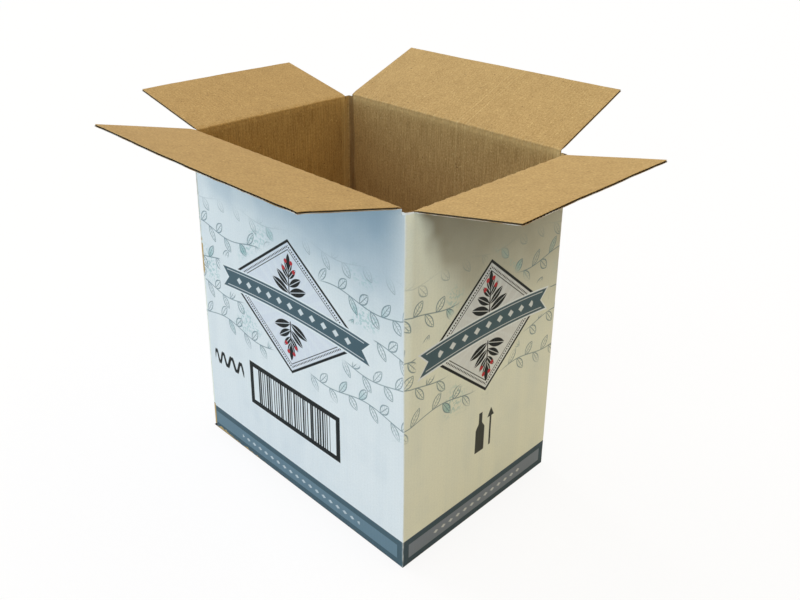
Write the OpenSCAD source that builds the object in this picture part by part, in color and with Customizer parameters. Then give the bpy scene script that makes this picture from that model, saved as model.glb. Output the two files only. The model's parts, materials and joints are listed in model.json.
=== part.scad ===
// A printed corrugated carton with its four top flaps standing open.
// One slotted sheet makes the walls, the glue tab and the glued bottom; the top flaps turn on their creases.
// The base lies on z = 0 and the origin is at the middle of the base. The long walls run along X.

/* [Box] */
// Outside length, along the long walls
box_l = 262; // [220:1:320]
// Outside width, along the short walls
box_w = 184; // [150:1:210]
// Outside height with the top closed
box_h = 304; // [200:1:360]

/* [Board] */
// Thickness of the corrugated board
board_t = 1.8; // [1.4:0.1:3]
// Thickness of each flat liner of the board
liner_t = 0.25; // [0.2:0.05:0.35]
// Thickness of the wavy paper between the liners
medium_t = 0.2; // [0.15:0.05:0.3]
// Distance from one flute to the next
flute_pitch = 3.4; // [3:0.1:6.5]

/* [Folds] */
// Inside radius of the upright corner folds and of the bottom folds
fold_r = 0.4; // [0.3:0.1:2]
// Height of the corner folds' lower ends above the floor
corner_foot = 0.4; // [0.2:0.1:1.2]
// Distance from a corner of the box to the score pressed into the wall beside it
score_inset = 9; // [8:0.5:14]
// Width of a score
score_w = 1.6; // [1:0.1:2.4]
// Depth of a score
score_depth = 0.3; // [0.1:0.05:0.5]
// Length of crushed board on each side of a flap crease
crease_len = 3.5; // [3:0.1:5]
// Radius of the rolled bead that each flap turns on
bead_r = 0.32; // [0.25:0.01:0.4]
// Thickness of the flap's neck at its bead
neck_t = 0.3; // [0.2:0.02:0.4]
// Running gap between a bead and the lip below it
crease_play = 0.1; // [0.05:0.01:0.2]

/* [Flaps] */
// Distance from a corner of the box to the nearest edge of a flap
slot_inset = 6; // [5.5:0.1:9]
// Gap between two long flaps where their edges meet
seam_gap = 1; // [0.6:0.1:3]
// Gap between the long flaps and the short flaps below them when the top is closed
layer_gap = 0.4; // [0.2:0.1:1]
// Gap between the end of a bead and the corner beside it
side_play = 0.3; // [0.2:0.1:0.6]
// Bare board between a flap's side edge and its first flute
edge_margin = 1; // [0.6:0.1:3]
// How far the front flap leans out from upright, in degrees
front_open = 76; // [30:1:110]
// How far the right flap leans out from upright, in degrees
right_open = 79; // [30:1:110]
// How far the back flap leans out from upright, in degrees
back_open = 67; // [30:1:110]
// How far the left flap leans out from upright, in degrees
left_open = 78; // [30:1:110]

/* [Glue tab] */
// Width of the tab glued inside the front wall, from the left corner
tab_w = 36; // [25:1:45]
// Height that the slanted ends take off the tab at its free edge
tab_taper = 12; // [5:1:25]

/* [Hidden] */
$fn = 64;

FRONT = "front";
RIGHT = "right";
BACK = "back";
LEFT = "left";
SIDES = [FRONT, RIGHT, BACK, LEFT];
LEFT_END = "left_end";
RIGHT_END = "right_end";

kraft = [0.75, 0.60, 0.40];
printed = [0.80, 0.87, 0.91];

outer_r = fold_r + board_t;
half_t = board_t / 2;

// The short flaps fold in first, one board lower than the long ones, at the top and at the bottom.
long_crease_z = box_h - half_t;
short_crease_z = long_crease_z - board_t - layer_gap;
long_base_z = 0;
short_base_z = board_t;

// Top flaps are measured from the crease axis, bottom flaps from the outside of their wall.
flap_len = box_w / 2 - half_t - seam_gap / 2;
bottom_reach = box_w / 2 - seam_gap / 2;

function is_long(side) = side == FRONT || side == BACK;
function turn(side) = side == FRONT ? 0 : side == RIGHT ? 90 : side == BACK ? 180 : 270;
function run(side) = is_long(side) ? box_l : box_w;
function half_depth(side) = (is_long(side) ? box_w : box_l) / 2;
function panel_w(side) = run(side) - 2 * slot_inset;
function flap_w(side) = panel_w(side) - 2 * side_play;
function crease_z(side) = is_long(side) ? long_crease_z : short_crease_z;
function base_z(side) = is_long(side) ? long_base_z : short_base_z;
function wall_foot(side) = base_z(side) + outer_r;
function lip_foot(side) = crease_z(side) - crease_len;

// The glue tab covers the front wall's left end, so no score shows there.
function score_ends(side) = side == FRONT ? [RIGHT_END] : [LEFT_END, RIGHT_END];

// Places a child drawn on the front wall's outside face onto any side of the box
module on_side(side) {
    rotate([0, 0, turn(side)]) translate([0, -half_depth(side), 0]) children();
}

// Carries a section, drawn as depth against height, along a wall of the given width
module along_wall(width) {
    rotate([90, 0, 90]) linear_extrude(height = width, center = true) children();
}

// A quarter of a folded board, bending from upright to level about the origin
module fold_quarter() {
    intersection() {
        difference() {
            circle(r = outer_r);
            circle(r = fold_r);
        }
        translate([-outer_r, -outer_r]) square(outer_r);
    }
}

// Section of one side: bottom flap, bottom fold, wall and the crushed lip under the flap crease
module side_section(side) {
    lip_top = crease_z(side) - bead_r - crease_play;
    translate([outer_r, base_z(side)]) square([bottom_reach - outer_r, board_t]);
    translate([outer_r, wall_foot(side)]) fold_quarter();
    translate([0, wall_foot(side)]) square([board_t, lip_foot(side) - wall_foot(side)]);
    polygon([[0, lip_foot(side)], [board_t, lip_foot(side)], [half_t, lip_top]]);
}

// Grooves pressed up the inside of a wall, one beside each corner fold
module corner_scores(side) {
    from_middle = run(side) / 2 - score_inset;
    for (end = score_ends(side))
        translate([end == LEFT_END ? -from_middle : from_middle, board_t, wall_foot(side)])
            linear_extrude(height = lip_foot(side) - wall_foot(side))
                polygon([
                    [-score_w / 2, 0], [0, -score_depth], [score_w / 2, 0],
                    [score_w / 2, board_t], [-score_w / 2, board_t]
                ]);
}

// Plan of a corner post: a rounded fold and a short length of each wall, up to the slots
module corner_plan(reach_x, reach_y) {
    translate([outer_r, outer_r]) fold_quarter();
    translate([outer_r, 0]) square([reach_x - outer_r, board_t]);
    translate([0, outer_r]) square([board_t, reach_y - outer_r]);
}

module corner_post(reach_x, reach_y, foot = corner_foot) {
    translate([0, 0, foot]) linear_extrude(height = short_crease_z - foot) corner_plan(reach_x, reach_y);
}

// The left wall's end folds round behind the front wall and tapers to its free edge, clear of both bottom layers
module glue_tab() {
    tab_foot = short_base_z + board_t;
    tab_top = short_crease_z;
    translate([0, board_t, 0]) corner_post(slot_inset, slot_inset - board_t, tab_foot);
    translate([0, 2 * board_t, 0]) rotate([90, 0, 0]) linear_extrude(height = board_t)
        polygon([
            [slot_inset, tab_foot], [tab_w, tab_foot + tab_taper],
            [tab_w, tab_top - tab_taper], [slot_inset, tab_top]
        ]);
}

module carton() {
    color(printed) union() {
        for (side = SIDES) on_side(side) difference() {
            along_wall(panel_w(side)) side_section(side);
            corner_scores(side);
        }
        translate([-box_l / 2, -box_w / 2, 0]) glue_tab();
        translate([box_l / 2, -box_w / 2, 0]) mirror([1, 0, 0]) corner_post(slot_inset, slot_inset);
        translate([box_l / 2, box_w / 2, 0]) rotate([0, 0, 180]) corner_post(slot_inset, slot_inset);
        translate([-box_l / 2, box_w / 2, 0]) mirror([0, 1, 0]) corner_post(slot_inset, slot_inset);
    }
}

// Section of a top flap standing upright over its crease: bead, crushed neck and board
module flap_section() {
    circle(r = bead_r);
    polygon([
        [-neck_t / 2, 0], [neck_t / 2, 0], [half_t, crease_len],
        [half_t, flap_len], [-half_t, flap_len], [-half_t, crease_len]
    ]);
}

// Open space beside one bend of the wavy paper, with its wide side on the liner at negative depth
module flute_gap() {
    wave_h = board_t - 2 * liner_t;
    slope = wave_h / (flute_pitch / 2);
    wall_x = medium_t * sqrt(1 + slope * slope) / slope / 2;
    base_half = flute_pitch / 2 - wall_x;
    crown_half = wall_x;
    crown_y = wave_h / 2 - medium_t - crown_half * slope / 2;
    polygon([
        [-base_half, -wave_h / 2], [base_half, -wave_h / 2],
        [crown_half, crown_y], [-crown_half, crown_y]
    ]);
}

// The flutes run from the crushed crease to the free edge, where they stand open
module flutes(width) {
    count = floor((width - 2 * edge_margin) / flute_pitch - 0.5);
    first = -(count - 0.5) * flute_pitch / 2;
    translate([0, 0, crease_len]) linear_extrude(height = flap_len) for (i = [0 : count - 1]) {
        translate([first + i * flute_pitch, 0]) flute_gap();
        translate([first + (i + 0.5) * flute_pitch, 0]) mirror([0, 1]) flute_gap();
    }
}

module top_flap(side, open) {
    on_side(side) translate([0, half_t, crease_z(side)]) rotate([open, 0, 0])
        difference() {
            along_wall(flap_w(side)) flap_section();
            flutes(flap_w(side));
        }
}

module front_flap() { color(kraft) top_flap(FRONT, front_open); }
module right_flap() { color(kraft) top_flap(RIGHT, right_open); }
module back_flap() { color(kraft) top_flap(BACK, back_open); }
module left_flap() { color(kraft) top_flap(LEFT, left_open); }

carton();
front_flap();
right_flap();
back_flap();
left_flap();
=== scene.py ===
"""Dresses a printed corrugated carton: board with liners and flutes, bent creases, and printed paper."""
import json
import math
from types import SimpleNamespace

import bpy
import numpy as np
from bpy.props import FloatProperty, FloatVectorProperty, PointerProperty
from mathutils import Matrix, Vector


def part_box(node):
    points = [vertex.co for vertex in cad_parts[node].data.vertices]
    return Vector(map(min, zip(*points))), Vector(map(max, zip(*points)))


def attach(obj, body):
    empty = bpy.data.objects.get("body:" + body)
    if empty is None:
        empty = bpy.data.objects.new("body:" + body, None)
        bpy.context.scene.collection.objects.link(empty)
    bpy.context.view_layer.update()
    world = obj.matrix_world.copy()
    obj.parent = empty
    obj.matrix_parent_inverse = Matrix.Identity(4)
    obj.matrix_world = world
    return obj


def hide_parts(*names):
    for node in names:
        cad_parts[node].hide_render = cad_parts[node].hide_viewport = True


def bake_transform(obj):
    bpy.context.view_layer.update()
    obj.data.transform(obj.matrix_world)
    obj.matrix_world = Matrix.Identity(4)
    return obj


bl_info = {
    "name": "Printed Carton",
    "version": (1, 0, 0),
    "blender": (4, 5, 0),
    "location": "View3D > Sidebar > Carton",
    "description": "Builds a printed corrugated carton with open top flaps around its packed frame",
    "category": "Add Mesh",
}

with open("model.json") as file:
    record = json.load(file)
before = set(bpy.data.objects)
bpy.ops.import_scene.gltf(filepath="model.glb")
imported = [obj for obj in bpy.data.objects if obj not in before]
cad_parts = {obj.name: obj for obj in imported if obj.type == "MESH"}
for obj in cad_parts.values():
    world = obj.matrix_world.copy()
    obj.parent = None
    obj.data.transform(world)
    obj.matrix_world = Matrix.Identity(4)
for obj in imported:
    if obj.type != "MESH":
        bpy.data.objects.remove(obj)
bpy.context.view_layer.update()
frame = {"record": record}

MM = 0.001
SIDES = ("front", "right", "back", "left")
JOINTS = {joint["child"]: joint for joint in frame["record"]["behaviour"]["joints"]}
CARTON_LOW, CARTON_HIGH = (np.array(corner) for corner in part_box("carton"))
CARTON_SIZE = CARTON_HIGH - CARTON_LOW
BOARD_T = 2 * (CARTON_SIZE[1] / 2 - abs(JOINTS["front_flap"]["pos_m"][1]))
POST_TOP = JOINTS["right_flap"]["pos_m"][2]
CLOSED_DEG = -90
SHARP_DEG = 35

# How finely the sheets are cut up
WALL_ROWS, WALL_COLUMNS = 49, 41
BOTTOM_ROWS, FOLD_ROWS, TAB_COLUMNS = 5, 9, 9
CORNER_STEP_DEG = 7.5
FLAP_COLUMNS, FLAP_ROWS = 81, 31
WAVE_STEPS, WAVE_ROWS = 10, 7
CREASE_COLUMNS, STRAIGHT_ROWS, BEND_ROWS = 321, 7, 11

# How this carton is bent and worn
DENT_W = 5.7 * MM
SEAM_GAP = 0.2 * MM
FLAP_TWIST, FLAP_RIPPLE, CORNER_CRUSH = 0.3 * MM, 0.15 * MM, 0.4 * MM
CREASE_RAGGED = {"front": 0.45, "right": 1.0, "back": 1.0, "left": 1.0}
FLAP_BOW = {"front": 0.9 * MM, "right": -0.4 * MM, "back": 0.5 * MM, "left": -0.5 * MM}


# Sizes and colours that a user would change


def length(name, description, default):
    """A length in metres, with its default given in millimetres."""
    return FloatProperty(name=name, description=description, default=default * MM, unit="LENGTH", precision=5)


def colour(name, description, default, most=1.0):
    """A linear colour."""
    return FloatVectorProperty(
        name=name, description=description, default=default, subtype="COLOR", size=3, min=0, max=most
    )


def light(name, description, default):
    """The colour and strength of a light, which may be over 1."""
    return colour(name, description, default, most=10.0)


def number(name, description, default):
    """A plain number."""
    return FloatProperty(name=name, description=description, default=default)


def angle(name, description, default):
    """An angle, with its default given in degrees."""
    return FloatProperty(
        name=name, description=description, default=math.radians(default), subtype="ANGLE", unit="ROTATION"
    )


class CARTON_PG_board(bpy.types.PropertyGroup):
    """Sizes of the corrugated board and its folds."""

    edge_r: length("Edge radius", "Outside radius of the corner and bottom folds", 0.9)
    fold_r: length("Fold radius", "Inside radius of the corner and bottom folds", 2.6)
    corner_gap: length("Corner gap", "Height of the corner folds' lower ends above the floor", 0.3)
    crush_len: length("Crushed length", "Crushed board on each side of a flap crease", 5.0)
    crush_t: length("Crushed thickness", "Thickness of the board along a crease", 1.0)
    bend_r: length("Bend radius", "Radius of the middle of the board where a flap bends", 1.1)
    liner_t: length("Liner", "Thickness of each flat liner", 0.33)
    liner_proud: length("Proud liner", "How far the printed liner stands out past the cut board", 0.15)
    medium_t: length("Medium", "Thickness of the wavy paper", 0.22)
    flute_pitch: length("Flute pitch", "Distance from one flute to the next", 3.4)
    slot_play: length("Slot play", "Gap between a flap's side edge and the slot's end", 0.3)
    tab_w: length("Glue tab", "Width of the tab inside the front wall", 36.0)
    tab_taper: length("Tab taper", "Height that the tab loses at its free edge", 12.0)
    bulge: length("Bulge", "How far the walls swell in the middle", 0.7)
    waver: length("Waver", "How far the crease lines wander", 0.5)
    dent: length("Dent", "How far the corner between the front and right walls is pressed in", 2.6)


class CARTON_PG_print(bpy.types.PropertyGroup):
    """Colours of the papers and inks, some of which stand for painted light and shade."""

    kraft: colour("Kraft", "Brown liner", (0.530, 0.358, 0.143))
    kraft_dark: colour("Kraft fibres", "Dark fibres of the brown liner", (0.310, 0.190, 0.060))
    kraft_light: colour("Kraft flecks", "Light flecks of the brown liner", (0.720, 0.540, 0.245))
    # Besides real specks, this is painted shade: the dark groove in the inner corners and the dark core of a
    # cut along the flutes.
    medium: colour("Medium", "Dark specks and grooves of the brown liner", (0.120, 0.060, 0.022))
    # Near black, painted shade: it stands for the shade in the flutes' hollows, on the wavy paper between the
    # liners and under the carton on the floor.
    edge: colour("Cut edge", "Wavy paper and raw edges", (0.030, 0.017, 0.008))
    paper: colour("White liner", "Printed side where the ink is thin", (0.820, 0.865, 0.900))
    # Partly the cream of the short walls' paper and partly painted warm light on them.
    end_paper_and_warm_light: colour("End liner", "Creamy wash over the short walls", (0.850, 0.872, 0.755))
    sky: colour("Sky", "Blue ink of the upper part", (0.350, 0.470, 0.590))
    # Painted shadow: this grey lays the short flaps' shadow on the short walls' upper part.
    cloud: colour("Cloud", "Grey ink of the short walls' upper part", (0.305, 0.266, 0.190))
    band: colour("Band", "Dark band round the foot", (0.068, 0.120, 0.152))
    stripe: colour("Stripe", "Lighter stripe on the band", (0.145, 0.232, 0.292))
    end_band: colour("End band", "Dark band on the short walls", (0.052, 0.088, 0.125))
    end_stripe: colour("End stripe", "Lighter stripe on the short walls' band", (0.220, 0.260, 0.340))
    ink: colour("Ink", "Dark ink of the emblem and marks", (0.007, 0.008, 0.009))
    line: colour("Line", "Thin lines of the leaf pattern", (0.130, 0.215, 0.255))
    leaf: colour("Leaf", "Filled leaves", (0.280, 0.520, 0.530))
    tint: colour("Tint", "Pale tint inside the emblem", (0.690, 0.720, 0.840))
    berry: colour("Berry", "Red berries", (0.520, 0.030, 0.040))


class CARTON_PG_stage(bpy.types.PropertyGroup):
    """Camera and lamps."""

    azimuth: angle("Azimuth", "Camera direction round the carton", 44.56)
    elevation: angle("Elevation", "Camera direction above the horizon", 21.25)
    roll: angle("Roll", "Turn of the camera about its own axis", 0.64)
    distance: length("Distance", "From the camera to the middle of the carton", 762.0)
    pan: length("Pan", "Sideways step of the camera", 24.45)
    rise: length("Rise", "Upward step of the camera", 91.4)
    lens: number("Lens", "Focal length in millimetres on a 36 mm sensor", 38.3)
    shift_y: number("Shift", "Upright shift of the picture", -0.125)
    key: number("Key lamp", "Strength of the soft sun above and to the left", 1.63)
    front_low: light("Low front", "Glow of the room low down in front", (0.55, 0.84, 0.97))
    front_high: light("High front", "Glow of the room high up in front", (1.15, 1.13, 1.20))
    right_high: light("High right", "Glow of the room high up on the right", (0.78, 0.44, 0.0))
    left_mid: light("Middle left", "Glow of the room half-way up on the left", (0.15, 0.18, 0.25))
    back_high: light("High back", "Glow of the room high up behind", (1.25, 1.22, 0.98))


def board():
    """Board sizes of the scene."""
    return bpy.context.scene.carton_board


def inks():
    """Paper and ink colours of the scene."""
    return bpy.context.scene.carton_print


# The four sides, read from the frame


def read_side(index):
    """Sizes of one side: its wall's length and depth, its crease and its flap's width, length and lean."""
    name = SIDES[index]
    joint = JOINTS[f"{name}_flap"]
    long_side = index % 2 == 0
    lean = math.radians(CLOSED_DEG - joint["range_deg"][0])
    low, high = (np.array(corner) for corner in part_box(f"{name}_flap"))
    run_axis, out_axis = (0, 1) if long_side else (1, 0)
    hinge_out = abs(joint["pos_m"][out_axis])
    reach = max(abs(low[out_axis]), abs(high[out_axis])) - hinge_out
    return SimpleNamespace(
        index=index,
        name=name,
        run=CARTON_SIZE[run_axis],
        half_depth=CARTON_SIZE[out_axis] / 2,
        crease_z=joint["pos_m"][2],
        base_z=0.0 if long_side else BOARD_T,
        lean=lean,
        flap_w=high[run_axis] - low[run_axis],
        flap_len=(reach - BOARD_T / 2 * math.cos(lean)) / math.sin(lean),
        is_long=long_side,
    )


def place(side, run, depth, up):
    """Points of a side in the frame: run is along the wall from its middle, depth is inwards from outside."""
    across = depth - side.half_depth
    turn = math.pi / 2 * side.index
    cos, sin = round(math.cos(turn)), round(math.sin(turn))
    return np.stack([cos * run - sin * across, sin * run + cos * across, up + 0 * run], -1)


def wander(x, seed, scale):
    """A smooth random line: three sines of x whose phases come from the seed, between about -1 and 1."""
    phases = np.random.default_rng(seed).uniform(0, 2 * math.pi, 3)
    waves = [np.sin(x / (scale * step) + p) for step, p in zip((1.0, 0.43, 0.21), phases)]
    return 0.55 * waves[0] + 0.3 * waves[1] + 0.15 * waves[2]


def smooth(x, low, high):
    """0 below low, 1 above high and an S between them."""
    t = np.clip((x - low) / (high - low), 0, 1)
    return t * t * (3 - 2 * t)


# Meshes of thick sheets


class BoardMesh:
    """Collects sheets with two faces and closed rims, and makes one mesh of them."""

    def __init__(self):
        self.points, self.quads, self.maps, self.slots = [], [], [], []
        self.count = 0

    def add_sheet(self, outer, inner, sheet_map, slots, keep=None):
        """Adds a grid sheet. Cells of the outer grid and turned cells of the inner one are its faces, and
        each edge that only one kept cell has becomes a rim face. slots gives the papers of the outer face,
        the inner face, the rims across the flutes and those along them."""
        rows, columns = sheet_map.shape[:2]
        size = rows * columns
        ids = np.arange(size).reshape(rows, columns)
        cells = np.stack([ids[:-1, :-1], ids[1:, :-1], ids[1:, 1:], ids[:-1, 1:]], -1)
        cells = cells.reshape(-1, 4) if keep is None else cells[keep]
        start, stop = cells.ravel(), np.roll(cells, -1, axis=1).ravel()
        alone = ~np.isin(start * size + stop, stop * size + start)
        start, stop = start[alone], stop[alone]
        rims = np.stack([stop, start, start + size, stop + size], -1)
        flat = sheet_map.reshape(-1, 2)
        span = np.abs(flat[start] - flat[stop])
        across = span[:, 0] > span[:, 1]
        travel = np.where(across[:, None], flat[rims % size][..., 0], flat[rims % size][..., 1])
        depth = np.broadcast_to(np.array([0.0, 0.0, 1.0, 1.0]), travel.shape)
        self.points += [outer.reshape(-1, 3), inner.reshape(-1, 3)]
        self.quads += [cells + self.count, cells[:, ::-1] + size + self.count, rims + self.count]
        self.maps += [flat[cells], flat[cells[:, ::-1]], np.stack([travel, depth], -1)]
        self.slots += [np.full(len(cells), slots[0]), np.full(len(cells), slots[1])]
        self.slots.append(np.where(across, slots[2], slots[3]))
        self.count += 2 * size

    def build(self, name, materials):
        """The object, with unused points dropped, a map named sheet and its steep edges kept sharp."""
        used, quads = np.unique(np.concatenate(self.quads), return_inverse=True)
        quads = quads.reshape(-1, 4)
        points = np.concatenate(self.points)[used]
        mesh = bpy.data.meshes.new(name)
        mesh.from_pydata(points.tolist(), [], quads.tolist(), shade_flat=False)
        mesh.polygons.foreach_set("material_index", np.concatenate(self.slots).astype(np.int32))
        layer = mesh.uv_layers.new(name="sheet")
        layer.uv.foreach_set("vector", np.concatenate(self.maps).astype(np.float32).ravel())
        mesh.validate()
        mesh.set_sharp_from_angle(angle=math.radians(SHARP_DEG))
        for material in materials:
            mesh.materials.append(material)
        piece = bpy.data.objects.new(name, mesh)
        bpy.context.scene.collection.objects.link(piece)
        return piece


# Walls


def section_face(side, inset, radius):
    """One face of a wall's section as rows of depth and height: bottom flap, quarter fold and wall. inset
    is 0 outside and one board inside. A short wall's bottom flap climbs onto the long ones."""
    centre = inset + radius
    reach = CARTON_SIZE[1] / 2 - SEAM_GAP / 2
    climb_from, climb_to = 2.2 * BOARD_T, 3.4 * BOARD_T
    level, climb = np.linspace(reach, climb_to, BOTTOM_ROWS), np.linspace(climb_to, centre, FOLD_ROWS)
    flat = np.concatenate([level[:-1], climb[:-1]])
    turn = np.linspace(0, math.pi / 2, FOLD_ROWS)[:-1]
    up = np.linspace(centre, side.crease_z - board().crush_len, WALL_ROWS)
    depth = np.concatenate([flat, centre - radius * np.sin(turn), 0 * up + inset])
    height = np.concatenate([0 * flat + inset, centre - radius * np.cos(turn), up])
    bend = radius * math.pi / 2
    travel = np.concatenate([centre - bend - (flat - centre), centre - bend + radius * turn, up])
    first = len(flat) + len(turn)
    height[:first] += side.base_z * smooth(depth[:first], climb_from, climb_to)
    return SimpleNamespace(depth=depth, up=height, travel=travel, first=first)


def corner_face(side, glued, inset, radius):
    """One face of the columns past a slot, from the slot outwards: a flat stretch and half the corner fold.
    At the glued corner the fold is set back by one board, turns all the way and runs on as the tab. Gives
    rows of the columns' run, depth, travel, foot and top."""
    b = board()
    half = side.run / 2
    slot = half - side.flap_w / 2
    corner = half - (BOARD_T if glued else 0.0)
    centre = inset + radius
    flat = np.array([half - slot + 2 * b.slot_play, corner - centre])
    turn_deg = 90 if glued else 45
    turn = np.radians(np.linspace(0, turn_deg, round(turn_deg / CORNER_STEP_DEG) + 1)[1:])
    tab = np.linspace(centre, b.tab_w, TAB_COLUMNS)[1:] if glued else np.zeros(0)
    run = np.concatenate([flat, corner - centre + radius * np.sin(turn), 0 * tab + corner - inset])
    depth = np.concatenate([0 * flat + inset, centre - radius * np.cos(turn), tab])
    bend = radius * math.pi / 2
    travel = half + np.concatenate([flat, flat[-1] + radius * turn, flat[-1] + bend + tab - centre])
    cut = np.concatenate([0 * flat, 0 * turn, b.tab_taper * (tab - centre) / (b.tab_w - centre)])
    foot = b.corner_gap + cut + 2 * BOARD_T * smooth(cut, 0, 0.2 * b.tab_taper)
    return np.stack([run, depth, travel, foot, POST_TOP - cut])


def mirrored(columns, side):
    """The same columns at the other end of the wall, in order along it."""
    run, depth, travel, foot, top = columns[:, ::-1]
    return np.stack([-run, depth, side.run - travel, foot, top])


def wall_face(side, inset, radius):
    """One face of a side: its section carried along the wall between the slots, with corner columns at the
    ends. The wall swells by a parabola along it times a sine up it."""
    b = board()
    rows = section_face(side, inset, radius)
    half_panel = side.flap_w / 2 + b.slot_play
    panel = np.linspace(-half_panel, half_panel, WALL_COLUMNS)
    left = [] if side.name == "front" else [mirrored(corner_face(side, False, inset, radius), side)]
    right = [corner_face(side, side.name == "left", inset, radius)]
    share = np.concatenate([np.zeros(rows.first), np.linspace(0, 1, WALL_ROWS)])
    swell = b.bulge * np.outer(1 - (panel / half_panel) ** 2, np.sin(math.pi * share) ** 0.8)
    middle = np.stack(np.broadcast_arrays(
        panel[:, None], rows.depth - swell, rows.up, panel[:, None] + side.run / 2, rows.travel
    ), -1)

    def columns(end):
        run, depth, travel, foot, top = end[..., None]
        up = foot + (top - foot) * share
        return np.stack(np.broadcast_arrays(run, depth, up, travel, up), -1)

    parts = [*map(columns, left), middle, *map(columns, right)]
    inside = np.concatenate([np.full(len(part), part is middle) for part in parts])
    grid = np.concatenate(parts)
    upright = np.arange(len(share) - 1) >= rows.first
    keep = (inside[:-1] & inside[1:])[:, None] | upright[None, :]
    return dented(place(side, grid[..., 0], grid[..., 1], grid[..., 2])), grid[..., 3:], keep


def dented(points):
    """Points of a wall with the corner between front and right pressed in. The dent is greatest at the fold,
    dies out in a straight line over the width of the corner post on either side, and grows upwards."""
    from_right = (CARTON_HIGH[0] - points[..., 0]) / DENT_W
    from_front = (points[..., 1] - CARTON_LOW[1]) / DENT_W
    share = (1 - np.clip(from_right, 0, 1)) * (1 - np.clip(from_front, 0, 1))
    share = share * smooth(points[..., 2], 0.15 * CARTON_SIZE[2], 0.8 * CARTON_SIZE[2])
    return points - share[..., None] * np.array([board().dent, 0, 0])


def wall_sheet(side, mesh):
    """Adds one side, with sharp folds outside and rounder ones inside."""
    b = board()
    outer, sheet_map, keep = wall_face(side, 0.0, b.edge_r)
    inner, _, _ = wall_face(side, BOARD_T, b.fold_r)
    mesh.add_sheet(outer, inner, sheet_map, (0, 1, 2, 3), keep)


# Flaps and creases


def flap_frame(side, run, away, lift):
    """Points of a flap: run is along the crease, away is from the crease along the flap, lift is towards its
    printed side. The flap leans out from upright about its crease."""
    sin, cos = math.sin(side.lean), math.cos(side.lean)
    out = away * sin + lift * cos
    up = away * cos - lift * sin
    return place(side, run, BOARD_T / 2 - out, side.crease_z + up)


def flap_warp(side, run, away):
    """How far the board strays from flat, towards its printed side: a shallow bow along the free edge, a
    slow random twist and, on the front flap, more bow to the right and one crushed corner. It dies out at
    the crease. Long flaps stray outwards and short ones inwards, to clear each other when closed."""
    end, half = side.flap_len, side.flap_w / 2
    loose = smooth(away, board().crush_len, end)
    outwards = 1 if side.is_long else -1
    bow = (1 - (run / half) ** 2) * FLAP_BOW[side.name]
    twist = FLAP_TWIST * (wander(run, side.index + 11, 60 * MM) + outwards)
    ripple = FLAP_RIPPLE * wander(run, side.index + 31, 12 * MM) * smooth(away, 0.7 * end, end)
    warp = loose * (bow + twist) + ripple
    if side.name == "front":
        corner = smooth(run, half - 6 * MM, half) * smooth(away, end - 5 * MM, end)
        warp = warp + loose * bow * run / side.flap_w + CORNER_CRUSH * corner
    return warp


def flap_sheets(side, mesh):
    """Adds a flap's inner liner, printed liner and wavy paper. The wavy paper is a sine across the flutes."""
    b = board()
    liner = BOARD_T / 2 - b.liner_t
    half = side.flap_w / 2

    def sheet(run_steps, away_steps, low, high, slots, proud=0.0):
        run, away = np.meshgrid(
            np.linspace(-half - proud, half + proud, run_steps),
            np.linspace(b.crush_len, side.flap_len + proud, away_steps), indexing="ij",
        )
        warp = flap_warp(side, run, away)
        faces = [flap_frame(side, run, away, warp + lift(run)) for lift in (high, low)]
        mesh.add_sheet(*faces, np.stack([run + side.run / 2, away + side.crease_z], -1), slots)

    def flat(level):
        return lambda run: level + 0 * run

    def wave(level):
        crest = liner - b.medium_t / 2
        return lambda run: level + crest * np.sin(2 * math.pi * run / b.flute_pitch)

    sheet(FLAP_COLUMNS, FLAP_ROWS, flat(liner), flat(BOARD_T / 2), (0, 4, 4, 4), b.liner_proud)
    sheet(FLAP_COLUMNS, FLAP_ROWS, flat(-BOARD_T / 2), flat(-liner), (2, 1, 3, 3))
    columns = int(side.flap_w / b.flute_pitch * WAVE_STEPS)
    sheet(columns, WAVE_ROWS, wave(-b.medium_t / 2), wave(b.medium_t / 2), (2, 2, 2, 2))


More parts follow.
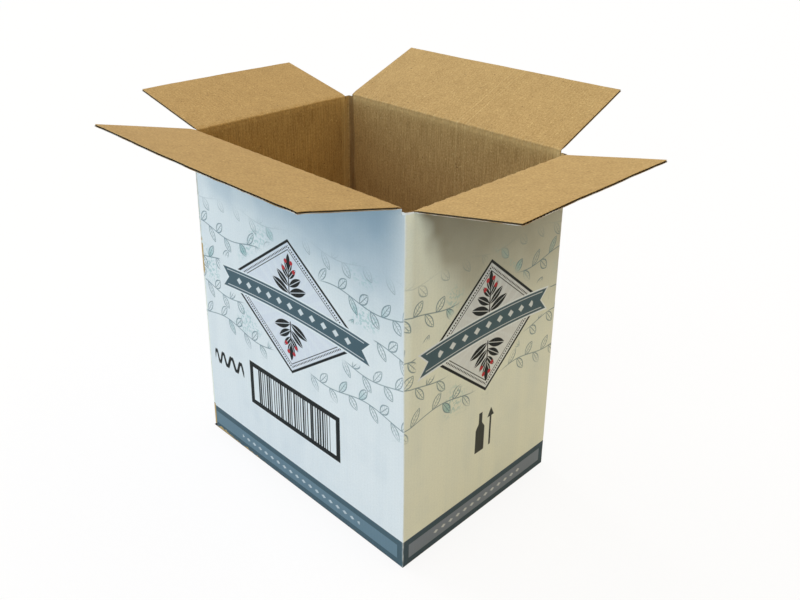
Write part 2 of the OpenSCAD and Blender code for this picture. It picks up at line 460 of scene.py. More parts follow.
def crease_sheet(side, mesh):
    """Adds the strip that joins a wall to its flap: straight, a fillet about the crease and straight again.
    The board is crushed towards the crease. The crease wanders slowly and quickly, with a tooth for each
    flute, and the inner liner is slack there."""
    b = board()
    tangent = b.bend_r * math.tan(side.lean / 2)
    below = np.linspace(-b.crush_len, -tangent, STRAIGHT_ROWS)
    bow = np.linspace(0, side.lean, BEND_ROWS)[1:-1]
    beyond = np.linspace(tangent, b.crush_len, STRAIGHT_ROWS)
    out = np.concatenate([0 * below, b.bend_r * (1 - np.cos(bow)), beyond * math.sin(side.lean)])
    up = np.concatenate([below, -tangent + b.bend_r * np.sin(bow), beyond * math.cos(side.lean)])
    lean = np.concatenate([0 * below, bow, 0 * beyond + side.lean])
    travel = np.concatenate([below, tangent * (2 * bow / side.lean - 1), beyond])
    crush = smooth(np.abs(travel), 0.15 * b.crush_len, b.crush_len)
    half_t = b.crush_t / 2 + (BOARD_T - b.crush_t) / 2 * crush
    half = side.flap_w / 2
    run = np.linspace(-half, half, CREASE_COLUMNS)
    ragged = b.waver * CREASE_RAGGED[side.name]
    teeth = np.sin(2 * math.pi * run / b.flute_pitch) * (0.3 + 0.3 * wander(run, side.index + 75, 9 * MM))
    slow, quick = wander(run, side.index + 71, 14 * MM), wander(run, side.index + 73, 2.6 * MM)
    still = smooth(np.abs(travel), b.crush_len, 0.2 * b.crush_len)
    stray = ragged * (0.6 * slow + 0.4 * quick + teeth)[:, None] * still
    fade = smooth(run + half, 0, 4 * MM) * smooth(half - run, 0, 4 * MM)
    slack = 0.7 * ragged * (wander(run, side.index + 91, 2.1 * MM) * fade)[:, None] * still
    stray_lean = lean / 2 + 0.4

    def face(way):
        reach = half_t * way + (0.0 if way > 0 else slack)
        across = out + reach * np.cos(lean) + stray * np.sin(stray_lean)
        rise = up - reach * np.sin(lean) + stray * np.cos(stray_lean)
        return place(side, run[:, None] + 0 * across, BOARD_T / 2 - across, side.crease_z + rise)

    along, height = run[:, None] + side.run / 2, side.crease_z + travel[None, :]
    mesh.add_sheet(face(1), face(-1), np.stack(np.broadcast_arrays(along, height), -1), (0, 1, 2, 3))


# Materials


# Width in millimetres over which a printed edge fades
BLUR = 0.35


class Field:
    """A number that changes over a surface. Arithmetic on it adds Math nodes."""

    def __init__(self, shade, socket):
        self.shade, self.socket = shade, socket

    def math(self, operation, *others, clamp=False):
        """One Math node on this value and the others."""
        settings = {"operation": operation, "use_clamp": clamp}
        node = self.shade.node("Math", settings, dict(enumerate((self, *others))))
        return Field(self.shade, node.outputs[0])

    def __add__(self, other):
        return self.math("ADD", other)

    def __sub__(self, other):
        return self.math("SUBTRACT", other)

    def __mul__(self, other):
        return self.math("MULTIPLY", other)

    def __truediv__(self, other):
        return self.math("DIVIDE", other)

    def __neg__(self):
        return self.math("MULTIPLY", -1.0)

    def __abs__(self):
        return self.math("ABSOLUTE")

    def __rsub__(self, other):
        return -self + other

    __radd__ = __add__
    __rmul__ = __mul__

    def clamp(self):
        """Kept between 0 and 1."""
        return self.math("ADD", 0.0, clamp=True)

    def sharp(self, blur=BLUR):
        """1 where this is above 0 and 0 below, over a blur of that width."""
        return self.math("MULTIPLY_ADD", 1 / blur, 0.5, clamp=True)

    def within(self, low, high, blur=BLUR):
        """1 between low and high."""
        return ((high - low) / 2 - abs(self - (low + high) / 2)).sharp(blur)

    def ramp(self, low, high):
        """An S from 0 at low to 1 at high."""
        settings = {"interpolation_type": "SMOOTHSTEP"}
        node = self.shade.node("MapRange", settings, {"Value": self, "From Min": low, "From Max": high})
        return Field(self.shade, node.outputs["Result"])


class Nodes:
    """A node tree under construction, with one method for any node."""

    def __init__(self, tree):
        self.tree = tree

    def node(self, kind, settings=None, inputs=None):
        """A new node of that kind, with its settings made first and then its sockets' values or links."""
        node = self.tree.nodes.new("ShaderNode" + kind)
        for key, value in (settings or {}).items():
            setattr(node, key, value)
        for key, value in (inputs or {}).items():
            self.feed(node.inputs[key], value)
        return node

    def feed(self, socket, value):
        """Links a field or socket to an input, or sets the input's value."""
        source = value.socket if isinstance(value, Field) else value
        if isinstance(source, bpy.types.NodeSocket):
            self.tree.links.new(source, socket)
        else:
            socket.default_value = source

    def mix(self, factor, first, second):
        """One colour over another."""
        settings = {"data_type": "RGBA", "clamp_factor": True}
        links = {0: factor, 6: rgba(first), 7: rgba(second)}
        return self.node("Mix", settings, links).outputs[2]

    def plus(self, base, tint, amount):
        """A colour with some of a tint added."""
        scaled = self.node("VectorMath", {"operation": "SCALE"}, {0: tuple(tint), "Scale": amount})
        return self.node("VectorMath", {"operation": "ADD"}, {0: base, 1: scaled.outputs[0]}).outputs[0]


class Shade(Nodes):
    """A material under construction. base is its colour so far, to begin with that of the ground."""

    def __init__(self, name, ground):
        self.material = bpy.data.materials.new(name)
        self.material.use_nodes = True
        super().__init__(self.material.node_tree)
        self.surface = self.tree.nodes["Principled BSDF"]
        self.base = ground

    def sheet(self):
        """The two lengths of the sheet map, in millimetres."""
        uv = self.node("UVMap", {"uv_map": "sheet"})
        parts = self.node("SeparateXYZ", inputs={0: uv.outputs["UV"]})
        return Field(self, parts.outputs[0]) / MM, Field(self, parts.outputs[1]) / MM

    def vector(self, x, y, z=0.0):
        """A vector of three values."""
        return self.node("CombineXYZ", inputs={0: x, 1: y, 2: z}).outputs[0]

    def noise(self, place, scale, detail, roughness=0.5):
        """Soft noise about 0.5."""
        inputs = {"Vector": self.vector(*place), "Scale": scale, "Detail": detail, "Roughness": roughness}
        return Field(self, self.node("TexNoise", {"noise_dimensions": "3D"}, inputs).outputs["Fac"])

    def chance(self, x, y):
        """A random number from 0 to 1 for each whole x and y."""
        node = self.node("TexWhiteNoise", {"noise_dimensions": "2D"}, {"Vector": self.vector(x, y)})
        return Field(self, node.outputs["Value"])

    def paint(self, mask, ink):
        """Lays an ink over the colour so far."""
        self.base = self.mix(mask, self.base, ink)

    def bump(self, height):
        """Gives the surface the small relief of paper."""
        node = self.node("Bump", inputs={"Height": height, "Distance": PAPER_RELIEF, "Strength": 1.0})
        self.tree.links.new(node.outputs[0], self.surface.inputs["Normal"])

    def finish(self, roughness):
        """Links the colour and the roughness, and gives the material."""
        self.feed(self.surface.inputs["Base Color"], self.base)
        self.feed(self.surface.inputs["Roughness"], roughness)
        return self.material


def rgba(value):
    """A colour property as four numbers, or a socket as it is."""
    return value if isinstance(value, bpy.types.NodeSocket) else (*value, 1.0)


# Papers. Places are in millimetres from the left edge of a wall, seen from outside, and up from its foot


PAPER_RELIEF = 0.12 * MM
OUTER_LINER = 0.2
SCORE_INSET, SCORE_HALF, LIT_STRIP_W = 9.0, 1.1, 12.0
CRUSHED_FLUTES, CRUSHED_HALF = (108.0, 118.0), 1.3
HIGHLIGHT_RIM_W = 12.0

# Cut papers: scale of the noise, its share across the cut, its ramp, its strength, two inks and the roughness
CUT_PAPERS = {
    # The wavy paper's near-black ground is painted shade of the hollows between the liners.
    "flute_paper": (0.8, 1.0, (0.3, 0.9), 0.25, "edge", "kraft_dark", 0.9),
    "raw_kraft": (0.4, 0.0, (0.45, 0.7), 0.6, "kraft", "medium", 0.85),
    "bare_paper": (0.045, 0.0, (0.38, 0.62), 0.7, "kraft_dark", "paper", 0.8),
}


def washboard(s):
    """The faint ridges that flutes press into a liner: a sine across the flutes."""
    return (s * (2 * math.pi / (board().flute_pitch / MM))).math("SINE")


def pressed(distance, half_w):
    """A soft groove where the distance is 0: 1 in its middle and 0 at its sides."""
    return (half_w - abs(distance)).ramp(0.0, half_w)


def kraft_colour(shade, s, v, inside):
    """Brown liner: slow blotches, mottling, fine grain and fibres along the flutes, each of which sways the
    colour by its share, and some light flecks and dark specks. The fibres show more inside the box, where the
    colour is also painted a little darker as shade."""
    c = inks()
    blotch = shade.noise((s, v), 0.03, 3.0)
    mottle = shade.noise((s, v * 0.5, 12.0), 0.2, 2.0)
    fibre = shade.noise((s * 0.9, v * 0.04), 1.0, 3.0)
    grain = shade.noise((s, v * 0.6), 0.8, 3.0, 0.6)
    flecks = shade.noise((s * 0.8, v * 0.45, 7.0), 0.9, 1.0)
    specks = shade.noise((s, v, 31.0), 0.34, 1.0)
    # Painted shade: inside darkens the walls below the crease a little, as well as strengthening their
    # fibres.
    dark = inside * 0.1 + 0.38
    for noise, share in ((blotch, 0.35), (mottle, 0.5), (grain, 2.1), (fibre, inside + 0.6)):
        dark = dark + (noise - 0.5) * share
    shade.paint(dark.clamp(), c.kraft_dark)
    shade.paint(flecks.ramp(0.64, 0.78) * 0.55, c.kraft_light)
    shade.paint(specks.ramp(0.74, 0.8) * 0.7, c.medium)
    return grain


def kraft_liner(side):
    """Brown inner liner. Beside each corner fold runs a score. A pale strip at the wall's left end is a
    painted highlight of the bevel beside the fold, and a dark groove at its right end is painted shade in the
    corner.
    The back has two crushed flutes and a painted highlight as a pale rim under its crease."""
    c = inks()
    run, crease = side.run / MM, side.crease_z / MM
    shade = Shade(f"kraft_{side.name}", c.kraft)
    s, v = shade.sheet()
    below = (crease - v).sharp(4.0)
    grain = kraft_colour(shade, s, v, below)
    from_end = run / 2 - abs(s - run / 2)
    score = pressed(from_end - SCORE_INSET, SCORE_HALF) * below
    # Painted highlight: a pale strip at the wall's left end, where the bevel beside the fold catches light.
    strip = s.within(1.0, LIT_STRIP_W, 2.0) * below
    edge = shade.noise((v, 0.0), 0.014, 2.0) * 9.0 + (crease - v) * 0.02
    # Painted shade: a dark groove at the wall's right end, in the shade of the inner corner.
    groove = (s - run + 3.5 + edge).sharp(2.0) * (run + 1.0 - s).sharp(1.0) * below
    if side.name == "back":
        for middle in CRUSHED_FLUTES:
            score = score + pressed(s - middle, CRUSHED_HALF) * 0.55
        # Painted highlight: a pale rim on the back wall just under its crease.
        strip = strip + (v - crease).ramp(-HIGHLIGHT_RIM_W, -1.0) * below * 0.9
    shade.paint((score * 0.25 + strip * 0.3).clamp(), c.kraft_light)
    shade.paint(groove * 0.5, c.medium)
    shade.bump(washboard(s) * 0.35 + grain * 0.6 - score * 2.0)
    return shade.finish(grain * 0.2 + 0.72)


def cut_paper(name):
    """A bare paper with stretches of another ink: the wavy paper, whose near-black ground is painted shade of
    the flutes' hollows, the brown liner's raw edge, or the raw edge and back of the white liner."""
    scale, across, span, share, ground, blot, roughness = CUT_PAPERS[name]
    shade = Shade(name, getattr(inks(), ground))
    s, v = shade.sheet()
    shade.paint(shade.noise((s, v * across), scale, 3.0).ramp(*span) * share, getattr(inks(), blot))
    return shade.finish(roughness)


def flute_ends():
    """A cut across the flutes: the wavy paper is a sine between two liners, and the rest is painted shade of
    the flutes' hollows.
    """
    shade = Shade("flute_ends", inks().edge)
    s, v = shade.sheet()
    depth = v * MM
    paper = (0.1 - abs(depth - washboard(s) * 0.32 - 0.5)).sharp(0.08)
    liner = (abs(depth - 0.5) - 0.36).sharp(0.06)
    shade.paint(paper.math("MAXIMUM", liner), inks().kraft_dark)
    shade.paint((OUTER_LINER - depth).sharp(0.1), inks().paper)
    return shade.finish(0.9)


def flute_sides():
    """A cut along the flutes: two liners with painted shade as a dark core between them."""
    shade = Shade("flute_sides", inks().kraft_dark)
    s, v = shade.sheet()
    depth = v * MM
    fray = shade.noise((s, 0.0), 0.3, 3.0)
    core = (0.3 - abs(depth - 0.5) + (fray - 0.5) * 0.2).sharp(0.1)
    # Painted shade of the hollow flute between the liners.
    shade.paint(core, inks().medium)
    shade.paint((OUTER_LINER - depth).sharp(0.1), inks().paper)
    return shade.finish(0.9)


# Print. Places are given as for the papers


PRINT_SHEEN = 0.15
BAND_TOP = 25.0
STRIPE_LOW, STRIPE_HIGH, STRIPE_INSET = 6.0, 19.0, 6.5
BAND_GEM_PITCH, RIBBON_GEM_PITCH = 9.0, 14.0
VINE_FOOT, VINE_TOP = (112.0, 126.0), (226.0, 252.0)
VINE_ROW, VINE_STEP, VINE_SHIFT, VINE_WAVE, VINE_WAVER = 29.0, 11.5, 7.3, 92.0, 3.4
LEAF_LEAN_DEG, LEAF_LEN, LEAF_W = 52, 14.5, 3.3
EMBLEM_Z = 180.0
EMBLEM_LONG, EMBLEM_SHORT = (84.0, 60.0, 95.0), (68.0, 57.0, 78.0)
SPRIG_FOOT, SPRIG_STEM, SPRIG_TIP = 12.0, 26.0, 24.0
SPRIG_LEAVES = ((2.0, 20, 23.0), (8.0, 35, 19.0), (14.5, 50, 14.5), (20.0, 66, 11.0))
BERRIES, BERRY_R = ((6.5, 22.5), (3.6, 29.5)), 1.9
RIBBON_HALF, RIBBON_SAG, RIBBON_RISE, RIBBON_RIM = 9.5, 5.0, 2.0, 1.5
CODE_LOW, CODE_HIGH = 60.0, 104.0
CODE_LEFT, CODE_RIGHT, CODE_BAR, CODE_QUIET, CODE_PITCH = 69.0, 190.0, 4.8, 12.0, 3.1
BOTTLE_X, BOTTLE_LOW, BOTTLE_H = 88.2, 64.0, 38.0
ARROW_X, ARROW_LOW, SHAFT_H, ARROW_H = 101.3, 64.5, 30.0, 37.0
PEN_X, PEN_Z, PEN_LEN = 13.0, 85.5, 46.0
GLUE_STRIP_W, TORN_LOW, TORN_MIDDLE = 7.0, 24.0, (166.0, 201.0)


def stroke(distance, half_w):
    """A line of that half width where the distance is 0."""
    return (half_w - abs(distance)).sharp()


def repeated(x, pitch):
    """How far x is from the nearest of a row of places, one each pitch."""
    return abs(((x / pitch + 0.5).math("FRACT") - 0.5) * pitch)


def leaf_mask(x, y, lean, size, width):
    """A leaf that grows from the origin at that lean: half its width is a parabola along its length. Gives
    the signed half-width left over and the place along the leaf."""
    cos, sin = math.cos(lean), math.sin(lean)
    along = (x * cos + y * sin) / size
    across = abs(y * cos - x * sin)
    return along * (1.0 - along) * (4 * width) - across, along


def vine_rows(shade, s, z):
    """Rows of a waving stem with leaves on alternate sides. Gives masks of the lines and of filled leaves."""
    row = (z / VINE_ROW).math("FLOOR")
    shifted = s + row * VINE_SHIFT
    wave = (shifted * (2 * math.pi / VINE_WAVE) + row * 2.4).math("SINE") * VINE_WAVER
    y = z - (row + 0.5) * VINE_ROW - wave
    cell = (shifted / VINE_STEP).math("FLOOR")
    luck = shade.chance(cell, row)
    side = (cell * 0.5).math("FRACT") * 4.0 - 1.0
    x = shifted - cell * VINE_STEP
    rest, along = leaf_mask(x - 1.0, y * side, math.radians(LEAF_LEAN_DEG), LEAF_LEN, LEAF_W)
    outline = stroke(rest, 0.5) * along.within(0.0, 1.0, 0.06)
    vein = stroke(rest - along * (1.0 - along) * (4 * LEAF_W), 0.3) * along.within(0.02, 0.85, 0.04)
    ribs = abs((along * 5.0 + rest * 0.22).math("FRACT") - 0.5)
    ribs = (0.09 - ribs).sharp(0.09) * (rest - 0.3).sharp() * along.within(0.1, 0.9, 0.05)
    filled = rest.sharp() * luck.math("GREATER_THAN", 0.68)
    lines = (outline + vein + ribs * 0.55) * luck.math("GREATER_THAN", 0.08)
    return (lines + stroke(y, 0.45)).clamp(), filled


def lozenge_gap(x, y, half_w, half_h):
    """Distance outside a lozenge, negative inside."""
    slope = half_w * half_h / math.hypot(half_w, half_h)
    return (abs(x) / half_w + abs(y) / half_h - 1.0) * slope


def sprig(out, up):
    """A stem with pairs of leaves that grow shorter and steeper upwards, and a leaf at its tip. out is the
    distance from the stem's line."""
    mask = (0.6 - out).sharp() * up.within(0.0, SPRIG_STEM, 0.5)
    for foot, lean_deg, size in SPRIG_LEAVES:
        rest, along = leaf_mask(out, up - foot, math.radians(lean_deg), size, size * 0.17)
        rib = along * (1.0 - along) * (0.68 * size) - rest - 0.28
        mask = mask + rest.sharp() * rib.sharp(0.3) * along.within(0.0, 1.0, 0.04)
    tip, _ = leaf_mask(up - SPRIG_TIP, out, 0.0, 13.0, 2.4)
    return mask + tip.sharp()


def ribbon(shade, x, y, ribbon_w):
    """A bowed ribbon with notched ends, a pale rim and piping, and a row of small diamonds."""
    c = inks()
    out = abs(x)
    bow = x * x * (-RIBBON_SAG / (ribbon_w * ribbon_w)) + RIBBON_RISE
    level = abs(y - bow)
    end = ribbon_w - out - (RIBBON_HALF - level * 0.9)
    cloth = (RIBBON_HALF - level).sharp() * end.sharp()
    piping = stroke(level - 7.2, 0.35) * (end - 4.0).sharp()
    gems = (2.6 - repeated(x, RIBBON_GEM_PITCH) * 0.7 - level * 0.8).sharp(0.6)
    gems = gems * (ribbon_w - 20.0 - out).sharp(1.0)
    rim = (RIBBON_HALF + RIBBON_RIM - level).sharp() * (end + RIBBON_RIM).sharp()
    shade.paint(rim, c.paper)
    shade.paint(cloth, c.band)
    shade.paint((piping + gems).clamp() * 0.85, c.paper)


def emblem(shade, x, y, half_w, half_h, ribbon_w):
    """A lozenge frame with a leafy sprig above and below a plain ribbon."""
    c = inks()
    gap = lozenge_gap(x, y, half_w, half_h)
    out, high = abs(x), abs(y)
    ray = (x.math("ARCTAN2", y) * 24.0).math("SINE").ramp(0.1, 0.9) * (-gap).sharp(1.0)
    shade.paint((-gap).sharp() * 0.55, c.tint)
    shade.paint(ray * 0.3, c.paper)
    dots = ((out - high) / 3.2).math("FRACT").within(0.2, 0.75, 0.15)
    lines = stroke(gap, 1.1) + stroke(gap + 6.2, 0.35) + stroke(gap + 3.8, 0.75) * dots
    up = high - SPRIG_FOOT
    shade.paint((lines + sprig(out, up)).clamp(), c.ink)
    for berry_x, berry_y in BERRIES:
        far = ((out - berry_x) * (out - berry_x) + (up - berry_y) * (up - berry_y)).math("SQRT")
        shade.paint((BERRY_R - far).sharp(), c.berry)
    ribbon(shade, x, y, ribbon_w)


def bar_code(shade, s, z):
    """A framed block of upright bars, one to a cell, each narrow or wide and set back by chance, with no
    number."""
    c = inks()
    half_w, half_h = (CODE_RIGHT - CODE_LEFT) / 2, (CODE_HIGH - CODE_LOW) / 2
    out = abs(s - (CODE_LEFT + CODE_RIGHT) / 2)
    edge = (out - half_w).math("MAXIMUM", abs(z - (CODE_LOW + CODE_HIGH) / 2) - half_h)
    block = (-edge).sharp()
    inside = (-edge - CODE_BAR).sharp()
    cell = (s / CODE_PITCH).math("FLOOR")
    wide = shade.chance(cell, 3.0).math("GREATER_THAN", 0.55) * 0.26 + 0.38
    along = s / CODE_PITCH - cell - shade.chance(cell, 8.0) * 0.34
    bars = along.within(0.0, wide, 0.12) * (half_w - CODE_QUIET - out).sharp()
    shade.paint(block, c.paper)
    shade.paint((block - inside + inside * bars).clamp(), c.ink)


def bottle_mark(shade, s, z):
    """The common mark of an upright bottle and an arrow: body, shoulders and neck, and shaft and head."""
    x, up = abs(s - BOTTLE_X), z - BOTTLE_LOW
    shoulder = (up - 22.0).ramp(0.0, 7.0) * -3.5 + 5.6
    bottle = (shoulder - x).sharp() * up.within(0.0, BOTTLE_H)
    x, up = abs(s - ARROW_X), z - ARROW_LOW
    shaft = (1.15 - x).sharp() * up.within(0.0, SHAFT_H)
    head = ((ARROW_H - up) * 0.5 - x).sharp() * (up - SHAFT_H + 1.5).sharp()
    shade.paint((bottle + shaft + head).clamp() * 0.95, inks().ink)


def pen_mark(shade, s, z):
    """A felt-pen squiggle: a sine that drifts along its way."""
    x = s - PEN_X
    phase = x * 0.52 + (x * 0.11).math("SINE")
    line = phase.math("SINE") * 5.0 + x * 0.05 + PEN_Z
    slope = phase.math("COSINE") * 2.6
    far = abs(z - line) / (slope * slope + 1.0).math("SQRT")
    mark = (1.7 - far).sharp(0.5) * x.within(0.0, PEN_LEN, 0.8)
    shade.paint(mark, inks().ink)


def foot_band(shade, s, z, wall_run, dark, pale):
    """A dark band round the foot, with a lighter stripe that carries a row of small pale diamonds."""
    middle = wall_run / 2
    out = abs(s - middle)
    shade.paint((BAND_TOP - z).sharp(), dark)
    stripe = z.within(STRIPE_LOW, STRIPE_HIGH) * (middle - STRIPE_INSET - out).sharp()
    shade.paint(stripe, pale)
    level = abs(z - (STRIPE_LOW + STRIPE_HIGH) / 2)
    gems = (1.7 - repeated(s - middle, BAND_GEM_PITCH) * 0.6 - level).sharp(0.5)
    shade.paint(gems * (middle * 0.62 - out).sharp(1.0) * 0.65, inks().paper)


def printed_liner(side, piece):
    """White outer liner with its print: blue from the crease down on long walls, and fading out up the flaps.
    On the short walls a grey from the crease down is painted shadow of the flaps, and their cream paper is
    partly painted warm light. piece says if it is a wall or a flap."""
    c = inks()
    run, crease = side.run / MM, side.crease_z / MM
    # On the short walls the cream paper is partly painted warm light.
    shade = Shade(f"printed_{side.name}_{piece}", c.paper if side.is_long else c.end_paper_and_warm_light)
    s, z = shade.sheet()
    spot = (s, z, 40.0 * side.index)
    cloud = shade.noise(spot, 0.011, 3.0)
    haze = shade.noise(spot, 0.03, 2.0)
    streak = shade.noise((s, z * 0.12, 70.0), 0.05, 2.0)
    shade.paint((streak.ramp(0.4, 0.7) + haze.ramp(0.45, 0.75)) * 0.08, c.sky)
    paper = shade.base
    down = crease - z + (haze - 0.5) * 40.0
    if side.is_long:
        # The blue is print. Its reaching further down towards the right is painted shade of the front flap,
        # and its thinning near both ends of the wall is painted light that falls past the flaps' ends.
        reach = s * 0.35 + (cloud - 0.5) * 120.0 + 50.0
        thick = (1.0 - down / reach.math("MAXIMUM", 25.0)).ramp(0.0, 1.0)
        ends = s.ramp(-8.0, 45.0) * (run - s).ramp(-12.0, 30.0)
        shade.paint(thick * (ends * 0.75 + 0.25), c.sky)
    else:
        # Painted shadow of the short flap: grey from the crease down, with a soft diagonal edge that leaves a
        # lit strip beside the near corner.
        flap_shadow_edge = ((s - down * 0.25 - 7.0) / (down.math("MAXIMUM", 0.0) * 0.55 + 5.0)).ramp(0.0, 1.0)
        shade.paint(down.ramp(175.0, -10.0) * flap_shadow_edge, c.cloud)
    shade.paint((z - crease).ramp(-1.0, 45.0), paper)
    grain = shade.noise(spot, 0.7, 3.0)
    ridge = washboard(s)
    if piece == "wall":
        wall_print(shade, s, z, side, run)
    # Painted light and cracked ink along the upright folds, and torn white at the slots.
    shade.paint(pale_fold_and_light(shade, s, z, side, run), c.paper)
    shade.paint(worn_edges(shade, s, z, side, run, piece), c.kraft)
    # A faint haze from the paper's grain, with painted shade along the washboard ridges.
    shade.paint((grain - 0.5) * 0.2 + 0.03 + ridge * 0.008, c.line)
    shade.bump(ridge * 0.12 + grain * 0.25)
    shade.surface.inputs["Specular IOR Level"].default_value = PRINT_SHEEN
    return shade.finish(grain * 0.25 + 0.36)


def wall_print(shade, s, z, side, run):
    """All that is printed on a wall: leaf rows round an emblem, the band, and the marks of its kind."""
    c = inks()
    half_w, half_h, ribbon_w = EMBLEM_LONG if side.is_long else EMBLEM_SHORT
    x, y = s - run / 2, z - EMBLEM_Z
    room = lozenge_gap(x, y, half_w, half_h).ramp(3.0, 12.0)
    off_ribbon = (abs(x) - ribbon_w - 2.0).math("MAXIMUM", abs(y) - 15.0)
    zone = z.ramp(*VINE_FOOT) * (1.0 - z.ramp(*VINE_TOP)) * room * off_ribbon.ramp(0.0, 4.0)
    patch = shade.noise((s, z, 9.0 + 17.0 * side.index), 0.016, 1.0)
    lines, filled = vine_rows(shade, s, z)
    stipple = shade.noise((s, z, 3.0), 0.36, 2.0).ramp(0.5, 0.56) * (patch - 0.56).sharp(0.06)
    shade.paint(stipple * zone * 0.5, c.leaf)
    shade.paint(filled * zone * patch.ramp(0.42, 0.6) * 0.7, c.leaf)
    shade.paint(lines * zone * (patch * 0.3 + 0.65), c.line)
    emblem(shade, x, y, half_w, half_h, ribbon_w)
    mark = bar_code if side.is_long else bottle_mark
    mark(shade, s, z)
    if side.name == "front":
        pen_mark(shade, s, z)
    dark, pale = (c.band, c.stripe) if side.is_long else (c.end_band, c.end_stripe)
    foot_band(shade, s, z, run, dark, pale)


def pale_fold_and_light(shade, s, z, side, run):
    """Paler along the upright folds, more so towards the top: partly ink cracked on the fold and partly
    painted light that falls between the flaps onto the corner. Also ink that has torn white at the lower ends
    of the slots."""
    rub = shade.noise((s, z * 0.4, 15.0), 0.35, 3.0)
    near = abs(s - run / 2) - run / 2
    # Partly cracked ink and partly painted light along the fold, stronger towards the top.
    crack_and_light = (near * 0.45 + rub * 1.3 + z * 0.0006).ramp(0.0, 1.0) * 0.75
    slot = (run - side.flap_w / MM) / 2
    torn = (near + slot - 0.4).sharp(0.8) * (z - POST_TOP / MM + rub * 3.4).sharp(0.8)
    return crack_and_light.math("MAXIMUM", torn)


def worn_edges(shade, s, z, side, run, piece):
    """Where the print has rubbed off to brown: specks along the foot and the flaps' sides, and two patches on
    the strip beside the glued corner."""
    rub = shade.noise((s, z, 5.0), 0.16, 4.0, 0.6)
    if piece != "wall":
        out = abs(s - run / 2)
        return (rub - 0.66).sharp(0.06) * (out - side.flap_w / MM / 2 + 2.5).clamp()
    scuffed = s.ramp(120.0, 0.0) * 0.3 - 0.1 if side.name == "front" else -0.12
    worn = (rub - 0.5 + scuffed - abs(z - 0.6) * 0.12).sharp(0.08)
    if side.name == "left":
        strip = (s - run + GLUE_STRIP_W).sharp(1.0)
        low = (TORN_LOW - z + (rub - 0.5) * 8.0).sharp(1.5)
        high = z.within(*TORN_MIDDLE, 4.0) * (rub - 0.42).sharp(0.1)
        worn = worn.math("MAXIMUM", strip * (low + high))
    return worn.clamp()


def made(name, maker, *args):
    """A material by name, made once."""
    return bpy.data.materials.get(name) or maker(*args)


def inner_paper(side):
    """The brown liner of one side."""
    return made(f"kraft_{side.name}", kraft_liner, side)


def edge_papers():
    """The papers of a sheet's rims, for cuts across and along the flutes."""
    return [made("flute_ends", flute_ends), made("flute_sides", flute_sides)]


def all_sides():
    """The four sides in turn."""
    return [read_side(index) for index in range(len(SIDES))]


# Operators


class CARTON_OT_walls(bpy.types.Operator):
    """Builds the four walls with their bottom flaps, corner folds and glue tab"""

    bl_idname = "carton.walls"
    bl_label = "Carton Walls"

    def execute(self, context):
        for side in all_sides():
            mesh = BoardMesh()
            wall_sheet(side, mesh)
            papers = [printed_liner(side, "wall"), inner_paper(side), *edge_papers()]
            wall = mesh.build(f"{side.name}_wall", papers)
            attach(wall, "carton")
            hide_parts("carton")
        return {"FINISHED"}


class CARTON_OT_flaps(bpy.types.Operator):
    """Builds the four top flaps from two liners and the wavy paper between them"""

    bl_idname = "carton.flaps"
    bl_label = "Top Flaps"

    def execute(self, context):
        for side in all_sides():
            mesh = BoardMesh()
            flap_sheets(side, mesh)
            papers = [printed_liner(side, "flap"), inner_paper(side)]
            papers += [made(name, cut_paper, name) for name in CUT_PAPERS]
            flap = mesh.build(f"{side.name}_flap_board", papers)
            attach(flap, f"{side.name}_flap")
            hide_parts(f"{side.name}_flap")
        return {"FINISHED"}


class CARTON_OT_creases(bpy.types.Operator):
    """Builds the crushed strips, bent about the crease, that join the walls to their flaps"""

    bl_idname = "carton.creases"
    bl_label = "Flap Creases"

    def execute(self, context):
        for side in all_sides():
            mesh = BoardMesh()
            crease_sheet(side, mesh)
            printed = bpy.data.materials[f"printed_{side.name}_flap"]
            crease = mesh.build(f"{side.name}_crease", [printed, inner_paper(side), *edge_papers()])
            bend = 0.5 * board().crush_len
            middle = np.zeros(())
            start = place(side, middle, BOARD_T / 2 + middle, side.crease_z - bend)
            end = flap_frame(side, middle, bend, 0.0)
            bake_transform(crease)
        return {"FINISHED"}


# Stage


SENSOR_W = 36.0
SUN_WAY, SUN_SPREAD_DEG = (-0.90, -0.06, 0.44), 45
FLOOR_HALF, FLOOR_DROP, SHADOW_INSET = 6.0, 0.2 * MM, 0.3 * MM
FLOOR_GREY, FLOOR_WHITE, FLOOR_GLOW = (0.60, 0.60, 0.60), (0.93, 0.94, 1.0), 0.88


def soft_sun(name, towards_lamp, spread_deg, strength):
    """A white sun with a wide disc, in that direction from the carton."""
    lamp = bpy.data.lights.new(name, "SUN")
    lamp.angle, lamp.energy = math.radians(spread_deg), strength
    item = bpy.data.objects.new(name, lamp)
    bpy.context.scene.collection.objects.link(item)
    item.rotation_euler = (-Vector(towards_lamp)).to_track_quat("-Z", "Y").to_euler()


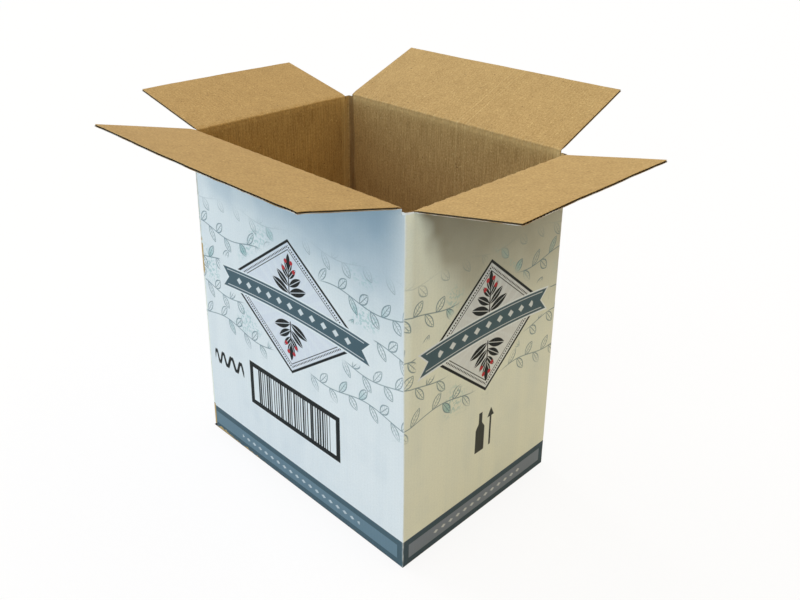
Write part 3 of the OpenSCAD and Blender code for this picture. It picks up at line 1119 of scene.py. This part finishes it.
def white_floor():
    """A pale floor that keeps the shadow: the camera sees it mostly as plain white, but the part the carton
    stands on is painted dark as shade."""
    half, low = FLOOR_HALF, -FLOOR_DROP
    mesh = bpy.data.meshes.new("floor")
    corners = [(-half, -half, low), (half, -half, low), (half, half, low), (-half, half, low)]
    mesh.from_pydata(corners, [], [(0, 1, 2, 3)])
    floor = bpy.data.objects.new("floor", mesh)
    bpy.context.scene.collection.objects.link(floor)
    shade = Shade("floor_paint", FLOOR_GREY)
    seen = Field(shade, shade.node("LightPath").outputs["Is Camera Ray"])
    at = shade.node("SeparateXYZ", inputs={0: shade.node("TexCoord").outputs["Object"]})
    inwards = [CARTON_SIZE[k] / 2 - SHADOW_INSET - abs(Field(shade, at.outputs[k])) for k in (0, 1)]
    # Painted shadow: the floor under the carton is dark and has no glow.
    painted_shadow_beneath = inwards[0].math("MINIMUM", inwards[1]).sharp(SHADOW_INSET)
    shade.paint(seen, FLOOR_WHITE)
    shade.paint(painted_shadow_beneath, inks().edge)
    shade.finish(0.9)
    glow = shade.node("Emission", inputs={"Color": (1, 1, 1, 1), "Strength": 1.0})
    share = seen * FLOOR_GLOW * (1.0 - painted_shadow_beneath)
    mixed = shade.node("MixShader", inputs={0: share, 1: shade.surface.outputs[0], 2: glow.outputs[0]})
    shade.tree.links.new(mixed.outputs[0], shade.tree.nodes["Material Output"].inputs["Surface"])
    mesh.materials.append(shade.material)


def room_light(view):
    """Soft light of a room. A glow goes as the cosine of the angle to its side, times a form in height: a
    low one dies out upwards, a middle one is strongest half-way up, and a high one grows as the height
    squared. The camera sees plain white past the floor."""
    world = bpy.data.worlds.new("room")
    bpy.context.scene.world = world
    world.use_nodes = True
    nodes = Nodes(world.node_tree)
    way = nodes.node("SeparateXYZ", inputs={0: nodes.node("TexCoord").outputs["Generated"]})
    right, front = Field(nodes, way.outputs[0]), Field(nodes, way.outputs[1]) * -1.0
    up = Field(nodes, way.outputs[2]).math("MAXIMUM", 0.0)
    low, middle, high = (1.0 - up) * (1.0 - up) * 2.0, (1.0 - up) * up * 6.0, up * up * 3.0
    glow = (0.0, 0.0, 0.0)
    for tint, side, form in (
        (view.front_low, front, low), (view.front_high, front, high), (view.right_high, right, high),
        (view.left_mid, -right, middle), (view.back_high, -front, high),
    ):
        glow = nodes.plus(glow, tint, side.math("MAXIMUM", 0.0) * form)
    seen = nodes.node("LightPath").outputs["Is Camera Ray"]
    back = world.node_tree.nodes["Background"]
    nodes.feed(back.inputs["Color"], nodes.mix(seen, glow, (1, 1, 1)))


def camera_matrix(view, target):
    """The camera's axes from its azimuth, elevation and roll, and its place: back from the target by the
    distance and then sideways and up in its own plane."""
    a, e, r = view.azimuth, view.elevation, view.roll
    back = Vector((math.sin(a) * math.cos(e), -math.cos(a) * math.cos(e), math.sin(e)))
    right = Vector((math.cos(a), math.sin(a), 0))
    up = back.cross(right)
    right, up = math.cos(r) * right + math.sin(r) * up, math.cos(r) * up - math.sin(r) * right
    at = Vector(target) + back * view.distance + right * view.pan + up * view.rise
    matrix = Matrix((right, up, back)).transposed().to_4x4()
    matrix.translation = at
    return matrix


class CARTON_OT_stage(bpy.types.Operator):
    """Sets the floor, the light and the camera"""

    bl_idname = "carton.stage"
    bl_label = "Carton Stage"

    def execute(self, context):
        view = context.scene.carton_stage
        middle = (0.0, 0.0, CARTON_SIZE[2] / 2)
        camera = bpy.data.cameras.new("camera")
        camera.sensor_width, camera.lens, camera.shift_y = SENSOR_W, view.lens, view.shift_y
        item = bpy.data.objects.new("camera", camera)
        context.scene.collection.objects.link(item)
        item.matrix_world = camera_matrix(view, middle)
        context.scene.camera = item
        white_floor()
        room_light(view)
        soft_sun("key", SUN_WAY, SUN_SPREAD_DEG, view.key)
        context.scene.view_settings.view_transform = "Standard"
        return {"FINISHED"}


class CARTON_PT_panel(bpy.types.Panel):
    """Lists the carton's steps and sizes"""

    bl_idname = "CARTON_PT_panel"
    bl_label = "Printed Carton"
    bl_space_type = "VIEW_3D"
    bl_region_type = "UI"
    bl_category = "Carton"

    def draw(self, context):
        for operator in OPERATORS:
            self.layout.operator(operator.bl_idname)
        for group in (context.scene.carton_board, context.scene.carton_print, context.scene.carton_stage):
            column = self.layout.column()
            for name in group.__annotations__:
                column.prop(group, name)


GROUPS = {"carton_board": CARTON_PG_board, "carton_print": CARTON_PG_print, "carton_stage": CARTON_PG_stage}
OPERATORS = (CARTON_OT_walls, CARTON_OT_flaps, CARTON_OT_creases, CARTON_OT_stage)


def register():
    for cls in (*GROUPS.values(), *OPERATORS, CARTON_PT_panel):
        bpy.utils.register_class(cls)
    for name, group in GROUPS.items():
        setattr(bpy.types.Scene, name, PointerProperty(type=group))


def unregister():
    for name in GROUPS:
        delattr(bpy.types.Scene, name)
    for cls in reversed((*GROUPS.values(), *OPERATORS, CARTON_PT_panel)):
        bpy.utils.unregister_class(cls)


def main():
    register()
    bpy.ops.carton.walls()
    bpy.ops.carton.flaps()
    bpy.ops.carton.creases()
    bpy.ops.carton.stage()


if __name__ == "__main__":
    main()
